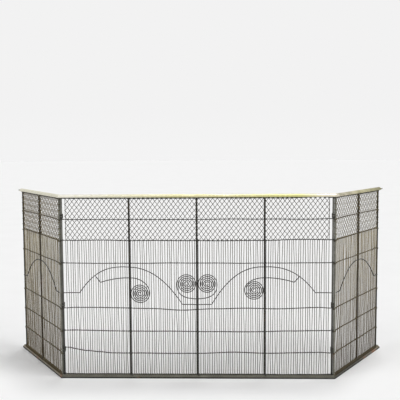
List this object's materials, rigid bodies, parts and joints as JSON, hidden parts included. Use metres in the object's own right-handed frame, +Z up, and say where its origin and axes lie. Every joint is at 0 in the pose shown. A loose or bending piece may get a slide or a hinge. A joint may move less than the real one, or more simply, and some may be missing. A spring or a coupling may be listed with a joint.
{
  "type": "folding fire screen",
  "caption": "Folding fire screen of iron wirework with a brass top rail: a wide centre panel and two hinged wings that fold flat behind it.",
  "frame": {"origin": "middle of the footprint of the whole screen, on the floor, with both wings turned back 56 degrees", "axes": "+X along the centre panel to the viewer's right, +Y from the front to the back, +Z up"},
  "size_m": [1.7052, 0.443, 0.762],
  "materials": {
    "brass": "worn polished brass with a dull patina",
    "core_iron": "dull grey wrought iron",
    "bar_iron": "dark aged wrought iron",
    "base_iron": "grey-green aged wrought iron with rust at the ends",
    "upright_iron": "dark aged wrought iron",
    "mesh_wire": "dull dark iron wire",
    "scroll_wire": "dull dark iron wire",
    "hinge_iron": "dark aged iron with rust in the corners",
    "pin_iron": "rubbed dark iron"
  },
  "bodies": {
    "centre": {"centre_brass_rail": "brass", "centre_core_bar": "core_iron", "centre_top_bar": "bar_iron", "centre_base_bar": "bar_iron", "centre_base_rail": "base_iron", "centre_upright_1": "upright_iron", "centre_upright_2": "upright_iron", "centre_upright_3": "upright_iron", "centre_upright_4": "upright_iron", "centre_upright_5": "upright_iron", "centre_wirework_1": "mesh_wire", "centre_wirework_2": "mesh_wire", "centre_wirework_3": "mesh_wire", "centre_wirework_4": "mesh_wire", "wave_wire": "scroll_wire", "left_scroll_wire": "scroll_wire", "middle_scroll_wire": "scroll_wire", "right_scroll_wire": "scroll_wire", "left_hinge_forks": "hinge_iron", "left_hinge_pins": "pin_iron", "right_hinge_forks": "hinge_iron", "right_hinge_pins": "pin_iron"},
    "left_wing": {"left_brass_rail": "brass", "left_core_bar": "core_iron", "left_top_bar": "bar_iron", "left_base_bar": "bar_iron", "left_base_rail": "base_iron", "left_upright_1": "upright_iron", "left_upright_2": "upright_iron", "left_upright_3": "upright_iron", "left_wirework_inner": "mesh_wire", "left_wirework_outer": "mesh_wire", "left_arch_wire": "scroll_wire", "left_hinge_eyes": "hinge_iron"},
    "right_wing": {"right_brass_rail": "brass", "right_core_bar": "core_iron", "right_top_bar": "bar_iron", "right_base_bar": "bar_iron", "right_base_rail": "base_iron", "right_upright_1": "upright_iron", "right_upright_2": "upright_iron", "right_upright_3": "upright_iron", "right_wirework_inner": "mesh_wire", "right_wirework_outer": "mesh_wire", "right_arch_wire": "scroll_wire", "right_hinge_eyes": "hinge_iron"}
  },
  "joints": [
    {"name": "left_wing_fold", "type": "hinge", "parent": "centre", "child": "left_wing", "pos_m": [-0.55141, -0.19709, 0.3], "axis": [0, 0, -1], "range_deg": [0, 124]},
    {"name": "right_wing_fold", "type": "hinge", "parent": "centre", "child": "right_wing", "pos_m": [0.55141, -0.19709, 0.3], "axis": [0, 0, 1], "range_deg": [0, 124]}
  ]
}
